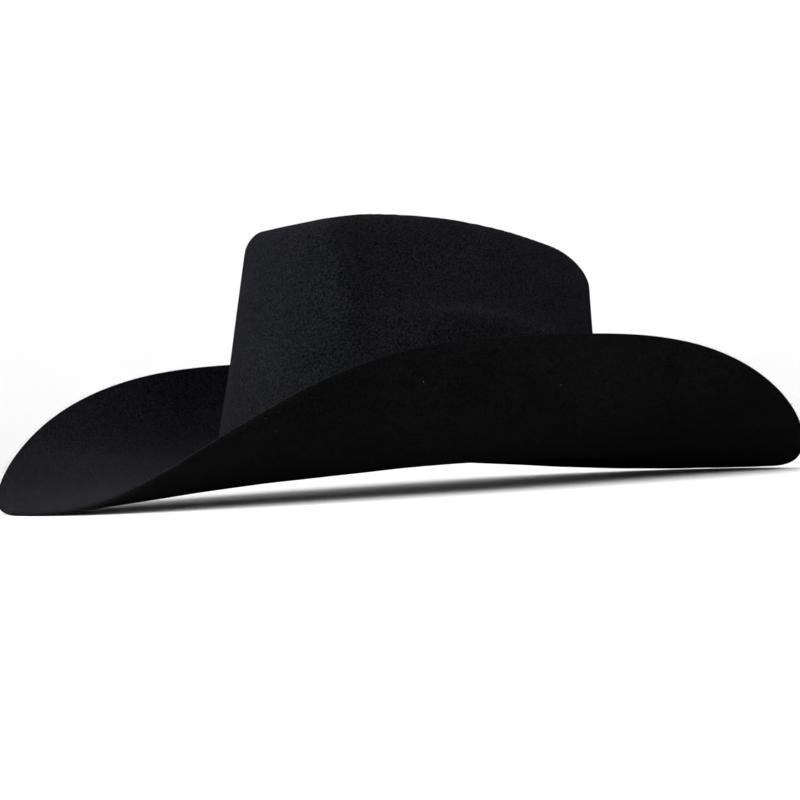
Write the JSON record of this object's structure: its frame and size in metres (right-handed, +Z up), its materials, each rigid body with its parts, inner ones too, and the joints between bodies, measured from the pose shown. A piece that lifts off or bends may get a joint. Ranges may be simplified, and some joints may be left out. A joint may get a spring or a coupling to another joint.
{
  "type": "cowboy hat",
  "caption": "Felt cowboy hat with a creased and dented crown, curled side brim, buckled strap band, leather sweatband and satin lining.",
  "frame": {"origin": "middle of the hat's length and width, on the surface that it rests on", "axes": "+Z up, -Y to the front of the hat, +X to the wearer's left"},
  "size_m": [0.31, 0.421, 0.143],
  "materials": {
    "felt": "black fur felt with a short nap",
    "strap_leather": "black, smooth",
    "buckle_metal": "satin silver",
    "sweat_leather": "tan, fine grain",
    "reed_plastic": "plain",
    "tape_fabric": "black grosgrain",
    "thread": "waxed thread",
    "satin": "grey satin",
    "clear_sheet": "clear vinyl",
    "label_fabric": "woven, blank"
  },
  "bodies": {
    "hat": {"felt_body": "felt", "hat_band": "strap_leather", "band_buckle": "buckle_metal", "band_keeper": "buckle_metal", "band_tip": "buckle_metal", "sweatband": "sweat_leather", "sweatband_reed": "reed_plastic", "reed_tape": "tape_fabric", "sweatband_stitching": "thread", "sweatband_seam": "thread", "sweatband_bow": "tape_fabric", "lining_sides": "satin", "lining_tip": "satin", "lining_piping": "tape_fabric", "tip_protector": "clear_sheet", "size_label": "label_fabric"},
    "tongue": {"buckle_tongue": "buckle_metal"}
  },
  "joints": [
    {"name": "tongue_hinge", "type": "hinge", "parent": "hat", "child": "tongue", "pos_m": [0.08681, 0.01347, 0.02763], "axis": [-0.122, 0, 0.9925], "range_deg": [0, 75]}
  ]
}
